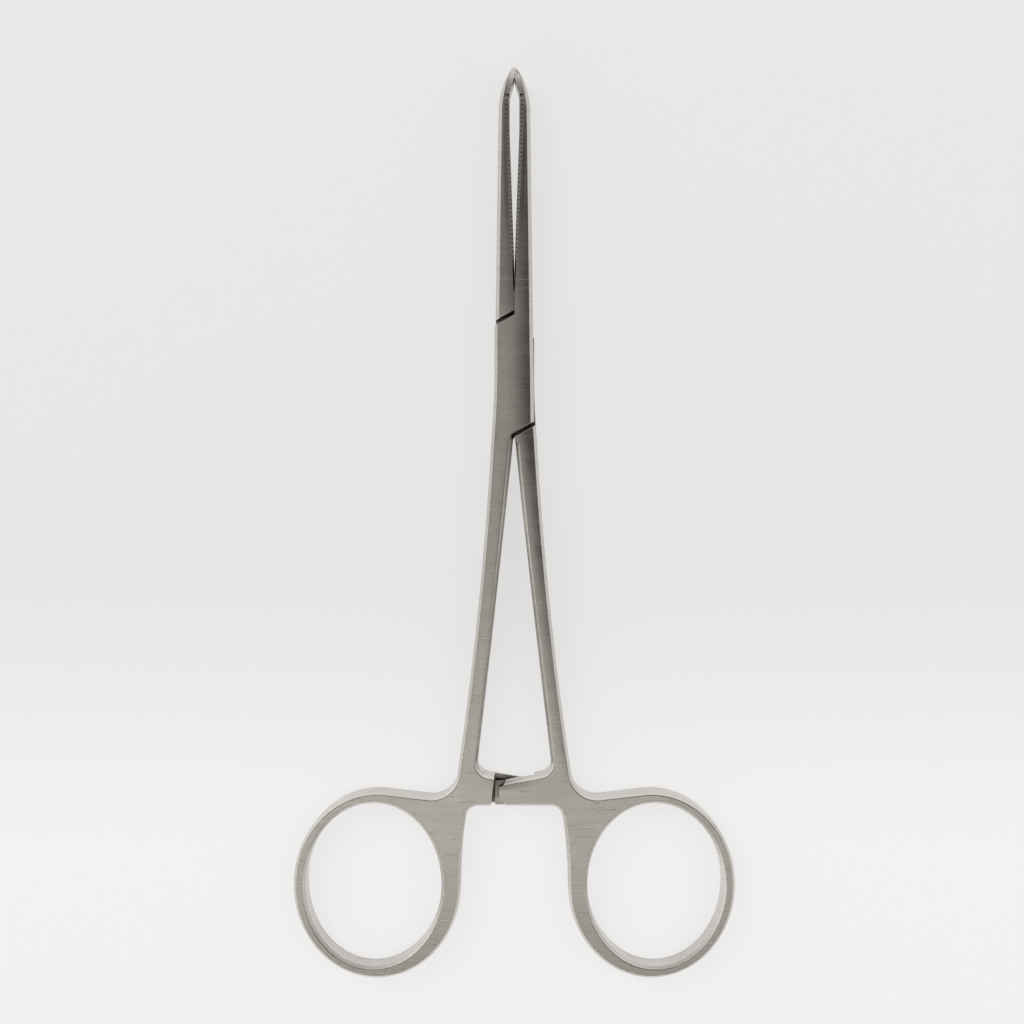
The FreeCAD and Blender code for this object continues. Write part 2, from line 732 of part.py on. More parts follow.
    # the ratchet bar is halved: this arm's half lies behind on the left and in front on the right
    floor = size("ratchet_clearance") + size("ratchet_tooth_depth")
    step_x = size("ratchet_step")
    lean = size("ratchet_step_lean") / size("ratchet_end_depth")
    end_x = -side * (size("ratchet_overlap") + PAST)
    halving = Outline(body, "halving_plan", "XY_Plane", middle - floor if slotted else None)
    halving.start(side * (step_x + lean * PAST), ratchet_low - PAST)
    halving.line(side * (step_x - lean * (ratchet_top - ratchet_low + PAST)), ratchet_top + PAST)
    halving.line(end_x, ratchet_top + PAST)
    halving.line(end_x, ratchet_low - PAST)
    halving.close()
    add_pocket(body, "halving", halving, middle + floor)
    face = 1 if slotted else -1
    teeth = Outline(
        body, "ratchet_teeth_profile", "XZ_Plane", -ratchet_low - size("ratchet_end_depth"))
    root_z = middle - face * (floor + CLOSE)
    crest_z = middle - face * size("ratchet_clearance")
    for number in range(RATCHET_TEETH):
        catch_x = size("ratchet_tooth_pitch") * (1 - number)
        teeth.start(-face * catch_x, root_z)
        teeth.line(-face * catch_x, crest_z)
        teeth.line(-face * (catch_x - size("ratchet_tooth_run")), root_z)
        teeth.close()
    add_pad(body, "ratchet_teeth", teeth, size("ratchet_end_depth"))

    groove = add_pocket(body, "serration", draw_serration(body, jaw))
    pattern = body.newObject("PartDesign::LinearPattern", "serrations")
    pattern.Originals = [groove]
    pattern.Direction = (groove.Profile[0], ["Axis0"])
    pattern.Mode = "Spacing"
    pattern.setExpression("Offset", "Sizes.serration_pitch")
    grooves = (bow_y - groove_y) / size("serration_pitch")
    pattern.setExpression("Occurrences", "floor(" + grooves.text + ")")
    body.Tip = pattern
    doc.recompute()
    return body


def build_pin():
    """The pivot pin, its ends ground flush with the cheeks."""
    body = doc.addObject("PartDesign::Body", "pivot_pin")
    body.Label = "pivot_pin"
    outline = Outline(body, "pin_plan", "XY_Plane").circle(0, 0, size("pin_diameter") / 2)
    add_pad(body, "pin", outline, size("box_thickness"))
    return body


LEFT = -1
RIGHT = 1
pieces = [
    build_arm("box_arm", LEFT, slotted=True),
    build_arm("inner_arm", RIGHT, slotted=False),
    build_pin(),
]
doc.recompute()
for item in doc.Objects:
    if "Invalid" in item.State or "Error" in item.State:
        raise RuntimeError(item.Name + " failed: " + str(item.State))
for piece in pieces:
    if piece.Shape.isNull() or not piece.Shape.isValid() or len(piece.Shape.Solids) != 1:
        raise RuntimeError(piece.Label + " is not one valid solid")
os.makedirs("parts", exist_ok=True)
for piece in pieces:
    piece.Shape.exportStep("parts/" + piece.Label + ".step")
    print(piece.Label, round(piece.Shape.Volume, 2), piece.Shape.BoundBox)
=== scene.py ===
"""Straight hemostat forceps on a pale studio floor, seen from straight above.

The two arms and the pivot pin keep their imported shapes. Each is shown by a merged copy whose
edges are rounded a little, as tumbling leaves them, in satin steel with cross-wise grinding
lines. Lengths are in metres: X runs across the finger rings, +Y to the tips and +Z up.
"""

import logging
import math
from dataclasses import dataclass, field
from enum import Enum
from typing import Any, Mapping, Optional, Sequence, Union

import bmesh
import bpy
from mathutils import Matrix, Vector


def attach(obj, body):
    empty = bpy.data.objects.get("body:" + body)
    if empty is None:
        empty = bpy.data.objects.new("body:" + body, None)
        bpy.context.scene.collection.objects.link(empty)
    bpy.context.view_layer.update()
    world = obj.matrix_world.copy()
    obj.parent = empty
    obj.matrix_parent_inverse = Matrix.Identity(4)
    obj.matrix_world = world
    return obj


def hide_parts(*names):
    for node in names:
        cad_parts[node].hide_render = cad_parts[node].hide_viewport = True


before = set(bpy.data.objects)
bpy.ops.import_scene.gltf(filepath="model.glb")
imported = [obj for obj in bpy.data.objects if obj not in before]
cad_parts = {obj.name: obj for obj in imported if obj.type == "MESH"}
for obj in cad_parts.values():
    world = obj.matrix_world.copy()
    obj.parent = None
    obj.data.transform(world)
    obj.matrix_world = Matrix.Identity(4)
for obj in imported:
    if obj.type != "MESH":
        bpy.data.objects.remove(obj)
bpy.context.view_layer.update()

LOG = logging.getLogger("hemostat")
MM = 0.001
IMAGE_SIDE = 1024.0
SENSOR_WIDTH = 36.0

Number = Union[int, float]
Value = Union[Number, Sequence[float], "Socket"]
Colour = tuple[float, float, float]


class Grain(Enum):
    """Which way the grinding lines run."""

    ACROSS = (0.0, 0.0, 0.0)
    ASKEW = (0.0, 0.0, 0.9)


class Attribute(Enum):
    """The values that a finished mesh carries for its finish."""

    WORN = "worn"
    UPRIGHT = "upright"
    GRIP = "grip"


class Socket:
    """An output of a node, on which sums are written as plain expressions."""

    def __init__(self, nodes: "Nodes", link: bpy.types.NodeSocket) -> None:
        """Args:
            nodes: the tree's helper, which adds the Math nodes.
            link: the output that carries the value.
        """
        self.nodes = nodes
        self.link = link

    def maths(self, operation: str, *others: Value) -> "Socket":
        """Adds one Math node with this value first.

        Args:
            operation: the Math node's operation.
            others: its second and third values.

        Returns:
            The result.
        """
        return self.nodes.maths(operation, self, *others)

    def __add__(self, other: Value) -> "Socket":
        """self + other."""
        return self.maths("ADD", other)

    def __radd__(self, other: Value) -> "Socket":
        """other + self."""
        return self.nodes.maths("ADD", other, self)

    def __sub__(self, other: Value) -> "Socket":
        """self - other."""
        return self.maths("SUBTRACT", other)

    def __rsub__(self, other: Value) -> "Socket":
        """other - self."""
        return self.nodes.maths("SUBTRACT", other, self)

    def __mul__(self, other: Value) -> "Socket":
        """self * other."""
        return self.maths("MULTIPLY", other)

    def __rmul__(self, other: Value) -> "Socket":
        """other * self."""
        return self.nodes.maths("MULTIPLY", other, self)

    def __truediv__(self, other: Value) -> "Socket":
        """self / other."""
        return self.maths("DIVIDE", other)

    def clamped(self) -> "Socket":
        """The value, kept between 0 and 1."""
        return self.maths("MAXIMUM", 0.0).maths("MINIMUM", 1.0)

    def step(self, low: Number, high: Number) -> "Socket":
        """A smooth step.

        Args:
            low: where the result is 0.
            high: where the result is 1; it may lie below low.

        Returns:
            The result, from 0 to 1.
        """
        share = ((self - low) / (high - low)).clamped()
        return share * share * (3.0 - 2.0 * share)


class Nodes:
    """Adds nodes to one tree."""

    def __init__(self, tree: bpy.types.NodeTree) -> None:
        """Args:
            tree: the tree, which is emptied.
        """
        self.tree = tree
        tree.nodes.clear()

    def add(
        self,
        kind: str,
        settings: Optional[Mapping[str, Any]] = None,
        inputs: Optional[Mapping[Union[str, int], Value]] = None,
    ) -> bpy.types.Node:
        """Adds a node, sets it up and feeds it.

        Args:
            kind: the node's type.
            settings: its properties; a ramp's stops go under "stops", each a place and a colour.
            inputs: what its sockets get, by name or number.

        Returns:
            The node.
        """
        node = self.tree.nodes.new(kind)
        for name, value in (settings or {}).items():
            if name == "stops":
                self._set_stops(node.color_ramp, value)
            else:
                setattr(node, name, value)
        for key, value in (inputs or {}).items():
            self.feed(node.inputs[key], value)
        return node

    @staticmethod
    def _set_stops(ramp: bpy.types.ColorRamp, stops: Sequence[tuple[float, Colour]]) -> None:
        """Gives a ramp its stops.

        Args:
            ramp: the ramp, which has two stops at first.
            stops: each stop's place from 0 to 1 and its colour.
        """
        while len(ramp.elements) < len(stops):
            ramp.elements.new(0.5)
        for element, (place, colour) in zip(ramp.elements, stops):
            element.position = place
            element.color = (*colour, 1.0)

    def feed(self, target: bpy.types.NodeSocket, value: Value) -> None:
        """Links or sets one input.

        Args:
            target: the input.
            value: a socket to link, or the value to set; a colour may leave out its alpha.
        """
        if isinstance(value, Socket):
            self.tree.links.new(value.link, target)
        elif target.type == "RGBA" and len(value) == 3:
            target.default_value = (*value, 1.0)
        else:
            target.default_value = value

    def out(self, node: bpy.types.Node, output: Union[str, int] = 0) -> Socket:
        """A node's output as a Socket."""
        return Socket(self, node.outputs[output])

    def maths(self, operation: str, *values: Value) -> Socket:
        """Adds one Math node.

        Args:
            operation: its operation.
            values: its inputs in order.

        Returns:
            The result.
        """
        node = self.add("ShaderNodeMath", {"operation": operation}, dict(enumerate(values)))
        return self.out(node)

    def mixed(self, share: Value, first: Value, second: Value) -> Socket:
        """Mixes two colours.

        Args:
            share: how much of the second there is.
            first: a colour.
            second: a colour.

        Returns:
            The colour between them.
        """
        node = self.add("ShaderNodeMix", {"data_type": "RGBA"}, {0: share, 6: first, 7: second})
        return self.out(node, 2)

    def noise(
        self, place: Socket, scale: float, detail: float = 2.0, roughness: float = 0.5
    ) -> Socket:
        """Adds a noise texture.

        Args:
            place: where it is read.
            scale: how fine it is.
            detail: its number of finer layers.
            roughness: how strong those are.

        Returns:
            Its value, about 0.5.
        """
        node = self.add(
            "ShaderNodeTexNoise",
            {"noise_dimensions": "3D"},
            {"Vector": place, "Scale": scale, "Detail": detail, "Roughness": roughness},
        )
        return self.out(node, "Fac")

    def stretched(
        self, place: Socket, scale: Sequence[float], turn: Sequence[float] = (0, 0, 0)
    ) -> Socket:
        """Turns and stretches a place.

        Args:
            place: the place.
            scale: by how much, along each axis.
            turn: the angles in radians.

        Returns:
            The new place.
        """
        node = self.add(
            "ShaderNodeMapping",
            {"vector_type": "POINT"},
            {"Vector": place, "Scale": scale, "Rotation": turn},
        )
        return self.out(node)


@dataclass(frozen=True)
class Crown:
    """How grinding rounds the faces across their width and the noses along theirs, as shading only.

    Attributes:
        jaw_x: where the middle of the jaw's face lies.
        shank_x: where the crown's middle lies at the box end of the shank.
        shank_run: how much further out it lies at the ratchet.
        box_reach: half the length of the box lock.
        shank_end: the Y of the ratchet.
        box_bend: half the curvature of the box lock and the jaws, per metre.
        shank_bend: the same of the shank.
        nose_start: the Y past which the jaw also falls towards its end.
        nose_bend: half the curvature of that fall, per metre.
    """

    jaw_x: float
    shank_x: float
    shank_run: float
    box_reach: float = 9.0 * MM
    shank_end: float = -64.0 * MM
    box_bend: float = 32.0
    shank_bend: float = 48.0
    nose_start: float = 41.0 * MM
    nose_bend: float = 38.0

    def height(self, across: Socket, along: Socket) -> Socket:
        """The height of the crowned face over a flat one.

        Args:
            across: the X of the place.
            along: the Y of the place.

        Returns:
            The height in metres.
        """
        in_jaw = along.step(self.box_reach - 2 * MM, self.box_reach + 2 * MM)
        in_shank = along.step(2 * MM - self.box_reach, -2 * MM - self.box_reach)
        down = ((along + self.box_reach) / (self.shank_end + self.box_reach)).clamped()
        centre = in_jaw * self.jaw_x + in_shank * (self.shank_x + down * self.shank_run)
        off = across - centre
        fade = along.step(self.shank_end, self.shank_end + 9 * MM)
        bend = self.box_bend + in_shank * (self.shank_bend - self.box_bend)
        past = (along - self.nose_start).maths("MAXIMUM", 0.0)
        return off * off * fade * bend * -1.0 - past * past * self.nose_bend


@dataclass(frozen=True)
class SatinSteel:
    """Ground and tumbled stainless steel.

    Attributes:
        name: the material's name.
        crown: how its faces are rounded.
        colour: of the flat faces.
        smudge: the colour that thin stains give it.
        gap_shade: the colour of painted shade in the gaps and recesses.
        deep_shade: the colour of darker painted shade in the narrowest gaps and in the grooves.
        grip_bevel_shade: painted shade and dark reflection on the bevel by the jaws' grooves.
        jaw_band_tone: the colour of the darker band beside them.
        roughness: of the flat faces.
        worn_roughness: of the rounded edges.
        line_pitch: the spacing of the grinding lines.
        line_depth: how deep they are.
        gap_reach: how far off a wall darkens a place.
        groove_reach: the same of the grooves' own sides.
        grain: which way the lines run.
        band_middle: the Y at which the jaws are widest apart.
        band_edge: how far from the middle line their edges lie there.
        band_curve: how fast those edges come back to the middle line, per metre.
        cloud_scale: how fine the dull patches are.
        stain_scale: how fine the stains are.
    """

    name: str
    crown: Crown
    colour: Colour = (0.60, 0.58, 0.55)
    smudge: Colour = (0.49, 0.465, 0.43)
    gap_shade: Colour = (0.13, 0.10, 0.085)
    deep_shade: Colour = (0.022, 0.018, 0.016)
    grip_bevel_shade: Colour = (0.36, 0.33, 0.315)
    jaw_band_tone: Colour = (0.24, 0.19, 0.17)
    roughness: float = 0.29
    worn_roughness: float = 0.26
    line_pitch: float = 0.2 * MM
    line_depth: float = 0.012 * MM
    gap_reach: float = 2.2 * MM
    groove_reach: float = 0.55 * MM
    grain: Grain = Grain.ACROSS
    band_middle: float = 35.0 * MM
    band_edge: float = 0.72 * MM
    band_curve: float = 2.0
    cloud_scale: float = 160.0
    stain_scale: float = 420.0

    def material(self) -> bpy.types.Material:
        """Builds the finish.

        Returns:
            The material.
        """
        material = bpy.data.materials.new(self.name)
        material.use_nodes = True
        nodes = Nodes(material.node_tree)
        place = nodes.out(nodes.add("ShaderNodeTexCoord"), "Object")
        axes = nodes.add("ShaderNodeSeparateXYZ", None, {0: place})
        worn, upright, grip = (
            nodes.out(nodes.add("ShaderNodeAttribute", {"attribute_name": name.value}), "Fac")
            for name in (Attribute.WORN, Attribute.UPRIGHT, Attribute.GRIP)
        )
        fine = 1.0 / self.line_pitch
        turn = self.grain.value
        along_lines = nodes.stretched(place, (fine * 0.03, fine, fine * 0.2), turn)
        lines = nodes.noise(along_lines, 1.0, 3.0, 0.6)
        bands = nodes.noise(nodes.stretched(place, (70.0, 1100.0, 300.0), turn), 1.0, 2.0, 0.5)
        cloud = nodes.noise(place, self.cloud_scale, 3.0, 0.55)
        stain = nodes.noise(place, self.stain_scale, 4.0, 0.6)
        scratch = self._scratches(nodes, place)
        shade = 0.5 + (lines - 0.5) * 1.3 + (bands - 0.5) * 0.7 + (cloud - 0.5) * 0.6
        colour = nodes.mixed(shade.step(0.95, 0.1) * 0.7, self.colour, self.smudge)
        colour = nodes.mixed(stain.step(0.58, 0.75) * 0.25, colour, self.smudge)
        open_sky = self._openness(nodes, self.gap_reach)
        open_groove = self._openness(nodes, self.groove_reach)
        across, along = nodes.out(axes, "X"), nodes.out(axes, "Y")
        # Painted shade and dark reflection on the bevels along the jaws' grooves.
        colour = nodes.mixed(grip * 0.85, colour, self.grip_bevel_shade)
        # A darker band beside the jaws' grooves.
        colour = nodes.mixed(self._band(across, along) * 0.6, colour, self.jaw_band_tone)
        # Painted shade: darker where nearby walls close in, in gaps and recesses.
        colour = nodes.mixed(open_sky.step(0.72, 0.3) * 0.95, colour, self.gap_shade)
        # Darker painted shade in the jaws' grooves and deep in the narrowest gaps.
        colour = nodes.mixed(open_groove.step(0.9, 0.5) * grip * 0.92, colour, self.deep_shade)
        colour = nodes.mixed(open_sky.step(0.4, 0.22), colour, self.deep_shade)
        rough = self.roughness + (cloud - 0.5) * 0.16 + (lines - 0.5) * 0.12 - upright * 0.06
        rough = rough + (self.worn_roughness - rough) * worn + grip * 0.2
        crown = self.crown.height(across, along)
        flat = (1.0 - upright.step(0.02, 0.1)) * (1.0 - worn)
        height = (lines + bands * 0.35 - scratch * 0.7) * flat * self.line_depth + crown
        bump = nodes.add(
            "ShaderNodeBump", None, {"Strength": 1.0, "Distance": 1.0, "Height": height}
        )
        shader = nodes.add(
            "ShaderNodeBsdfPrincipled",
            None,
            {
                "Base Color": colour,
                "Metallic": 1.0,
                "Roughness": rough.clamped(),
                "Normal": nodes.out(bump),
            },
        )
        target = nodes.add("ShaderNodeOutputMaterial")
        nodes.tree.links.new(shader.outputs[0], target.inputs["Surface"])
        return material

    @staticmethod
    def _openness(nodes: Nodes, reach: float) -> Socket:
        """How free of other faces a place is.

        Args:
            nodes: the material's nodes.
            reach: how far off a face still counts.

        Returns:
            1 in the open, down to 0 in a gap.
        """
        node = nodes.add("ShaderNodeAmbientOcclusion", {"samples": 8}, {"Distance": reach})
        return nodes.out(node, "AO")

    def _band(self, across: Socket, along: Socket) -> Socket:
        """The darker band beside the grooves, a little off the jaws' bowed edges.

        Args:
            across: the X of the place.
            along: the Y of the place.

        Returns:
            1 in the band and 0 elsewhere.
        """
        from_middle = along - self.band_middle
        edge = self.band_edge - from_middle * from_middle * self.band_curve
        off = across.maths("ABSOLUTE") - edge
        beside = off.step(0.15 * MM, 0.4 * MM) * off.step(1.05 * MM, 0.8 * MM)
        return beside * along.step(15 * MM, 30 * MM) * along.step(42.6 * MM, 41.6 * MM)

    @staticmethod
    def _scratches(nodes: Nodes, place: Socket) -> Socket:
        """Sparse hairline scratches in two directions.

        Args:
            nodes: the material's nodes.
            place: the place on the piece.

        Returns:
            1 on a scratch and 0 beside it.
        """
        one_way = nodes.stretched(place, (160.0, 3600.0, 160.0), (0, 0, 1.1))
        other_way = nodes.stretched(place, (140.0, 3000.0, 140.0), (0, 0, -0.6))
        first = nodes.noise(one_way, 1.0, 1.0, 0.4)
        second = nodes.noise(other_way, 1.0, 1.0, 0.4)
        return (first.step(0.73, 0.78) + second.step(0.75, 0.8)).clamped()


@dataclass(frozen=True)
class StudioWhite:
    """The seamless background.

    Attributes:
        name: the material's name.
        near: its colour towards the rings.
        far: its colour towards the tips.
        own_light: the share that the camera sees as plain colour, whatever the light.
        sheen: how much brighter the steel mirrors it.
        fade: the Y where it turns from the one colour to the other, start and end.
    """

    name: str = "studio_white"
    near: Colour = (0.93, 0.92, 0.918)
    far: Colour = (0.835, 0.828, 0.82)
    own_light: float = 0.8
    sheen: float = 0.14
    fade: tuple[float, float] = (-0.075, -0.03)

    def material(self) -> bpy.types.Material:
        """Builds the background's material.

        Returns:
            The material.
        """
        material = bpy.data.materials.new(self.name)
        material.use_nodes = True
        nodes = Nodes(material.node_tree)
        place = nodes.out(nodes.add("ShaderNodeTexCoord"), "Object")
        along = nodes.out(nodes.add("ShaderNodeSeparateXYZ", None, {0: place}), "Y")
        colour = nodes.mixed(along.step(*self.fade), self.near, self.far)
        paths = nodes.add("ShaderNodeLightPath")
        mirrored = nodes.out(paths, "Is Glossy Ray")
        seen = (nodes.out(paths, "Is Camera Ray") + mirrored).clamped()
        matt = nodes.add("ShaderNodeBsdfDiffuse", None, {"Color": colour})
        strength = 1.0 + mirrored * self.sheen
        plain = nodes.add("ShaderNodeEmission", None, {"Color": colour, "Strength": strength})
        shader = nodes.add("ShaderNodeMixShader", None, {0: seen * self.own_light})
        nodes.tree.links.new(matt.outputs[0], shader.inputs[1])
        nodes.tree.links.new(plain.outputs[0], shader.inputs[2])
        target = nodes.add("ShaderNodeOutputMaterial")
        nodes.tree.links.new(shader.outputs[0], target.inputs["Surface"])
        return material


@dataclass
class SteelPiece:
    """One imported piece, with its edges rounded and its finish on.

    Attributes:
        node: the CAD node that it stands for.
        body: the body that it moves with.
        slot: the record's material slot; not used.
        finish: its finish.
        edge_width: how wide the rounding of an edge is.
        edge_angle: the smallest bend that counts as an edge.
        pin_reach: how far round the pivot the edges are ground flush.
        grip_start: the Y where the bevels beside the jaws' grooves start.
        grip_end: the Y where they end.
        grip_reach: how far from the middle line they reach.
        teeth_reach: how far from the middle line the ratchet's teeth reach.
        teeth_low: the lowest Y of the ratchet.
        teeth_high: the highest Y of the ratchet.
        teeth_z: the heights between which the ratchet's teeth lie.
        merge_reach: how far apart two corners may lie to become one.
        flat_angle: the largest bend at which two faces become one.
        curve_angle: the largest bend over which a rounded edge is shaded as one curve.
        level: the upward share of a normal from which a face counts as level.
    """

    node: str
    body: str
    slot: str
    finish: SatinSteel
    edge_width: float = 0.085 * MM
    edge_angle: float = math.radians(24)
    pin_reach: float = 1.5 * MM
    grip_start: float = 12.4 * MM
    grip_end: float = 43.6 * MM
    grip_reach: float = 1.62 * MM
    teeth_reach: float = 3.4 * MM
    teeth_low: float = -67.0 * MM
    teeth_high: float = -60.5 * MM
    teeth_z: tuple[float, float] = (1.5 * MM, 2.9 * MM)
    merge_reach: float = 0.0005 * MM
    flat_angle: float = math.radians(0.15)
    curve_angle: float = math.radians(40)
    level: float = 0.98

    def merged(self) -> bpy.types.Object:
        """A copy of the node with its doubles merged and its flat faces whole.

        Returns:
            The copy.
        """
        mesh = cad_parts[self.node].data.copy()
        mesh.name = self.node + "_steel"
        shape = bmesh.new()
        shape.from_mesh(mesh)
        bmesh.ops.remove_doubles(shape, verts=shape.verts, dist=self.merge_reach)
        bmesh.ops.dissolve_limit(
            shape, angle_limit=self.flat_angle, verts=shape.verts, edges=shape.edges
        )
        self.choose_edges(shape)
        shape.to_mesh(mesh)
        shape.free()
        for layer in list(mesh.uv_layers):
            mesh.uv_layers.remove(layer)
        mesh.materials.clear()
        piece = bpy.data.objects.new(self.node + "_steel", mesh)
        bpy.context.scene.collection.objects.link(piece)
        return piece

    def is_sharp(self, place: Vector) -> bool:
        """Whether an edge at that place keeps its sharpness: round the pin and in fine teeth."""
        if math.hypot(place.x, place.y) < self.pin_reach:
            return True
        if place.y > self.grip_start and abs(place.x) < self.grip_reach:
            return True
        low, high = self.teeth_z
        in_bar = abs(place.x) < self.teeth_reach and self.teeth_low < place.y < self.teeth_high
        return in_bar and low < place.z < high

    def choose_edges(self, shape: bmesh.types.BMesh) -> None:
        """Marks the edges to round, and those that stay sharp.

        Args:
            shape: the merged shape.
        """
        weight = shape.edges.layers.float.new("bevel_weight_edge")
        for face in shape.faces:
            face.smooth = True
        for edge in shape.edges:
            if len(edge.link_faces) != 2 or edge.calc_face_angle() < self.edge_angle:
                continue
            middle = (edge.verts[0].co + edge.verts[1].co) / 2
            if self.is_sharp(middle):
                edge.smooth = False
            else:
                edge[weight] = 1.0

    def rounded(self, piece: bpy.types.Object) -> bpy.types.Mesh:
        """Rounds the edges.

        Args:
            piece: the merged copy.

        Returns:
            The finished mesh, whose faces on rounded edges carry material number 1.
        """
        plain = bpy.data.materials.new("plain")
        piece.data.materials.append(plain)
        piece.data.materials.append(plain)
        bevel = piece.modifiers.new("edges", "BEVEL")
        bevel.width = self.edge_width
        bevel.segments = 3
        bevel.limit_method = "WEIGHT"
        bevel.use_clamp_overlap = False
        bevel.material = 1
        bevel.miter_outer = "MITER_ARC"
        view = bpy.context.evaluated_depsgraph_get()
        mesh = bpy.data.meshes.new_from_object(piece.evaluated_get(view))
        piece.modifiers.clear()
        return mesh

    def settle_normals(self, mesh: bpy.types.Mesh) -> None:
        """Shades flat faces flat and the rounded edges as curves from one to the next.

        Args:
            mesh: the rounded mesh, whose faces on rounded edges carry material number 1.
        """
        faces = [(face.normal.copy(), face.area, face.material_index) for face in mesh.polygons]
        around: list[list[int]] = [[] for _ in mesh.vertices]
        for face in mesh.polygons:
            for vertex in face.vertices:
                around[vertex].append(face.index)
        least = (math.cos(self.edge_angle), math.cos(self.curve_angle))
        normals = []
        for face in mesh.polygons:
            own, _, kind = faces[face.index]
            for vertex in face.vertices:
                total = Vector()
                for other in around[vertex]:
                    normal, area, other_kind = faces[other]
                    if normal.dot(own) >= least[kind] and other_kind <= kind:
                        total += normal * area
                normals.append(total.normalized())
        mesh.normals_split_custom_set(normals)

    def mark(self, mesh: bpy.types.Mesh) -> None:
        """Writes the values that the finish reads.

        Args:
            mesh: the rounded mesh.
        """
        worn = mesh.attributes.new(Attribute.WORN.value, "FLOAT", "FACE")
        upright = mesh.attributes.new(Attribute.UPRIGHT.value, "FLOAT", "FACE")
        grip = mesh.attributes.new(Attribute.GRIP.value, "FLOAT", "FACE")
        for face in mesh.polygons:
            worn.data[face.index].value = float(face.material_index == 1)
            upright.data[face.index].value = 1.0 - abs(face.normal.z)
            middle = face.center
            in_grip = self.grip_start < middle.y < self.grip_end and abs(middle.x) < self.grip_reach
            grip.data[face.index].value = float(in_grip and abs(face.normal.z) < self.level)
            face.material_index = 0

    def build(self) -> bpy.types.Object:
        """Makes the piece and puts it in the node's place.

        Returns:
            The finished object.
        """
        piece = self.merged()
        mesh = self.rounded(piece)
        self.settle_normals(mesh)
        self.mark(mesh)
        mesh.materials.clear()
        mesh.materials.append(self.finish.material())
        old = piece.data
        piece.data = mesh
        bpy.data.meshes.remove(old)
        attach(piece, self.body)
        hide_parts(self.node)
        LOG.info(
            "%s: %d faces, own normals %s", piece.name, len(mesh.polygons), mesh.has_custom_normals
        )
        return piece


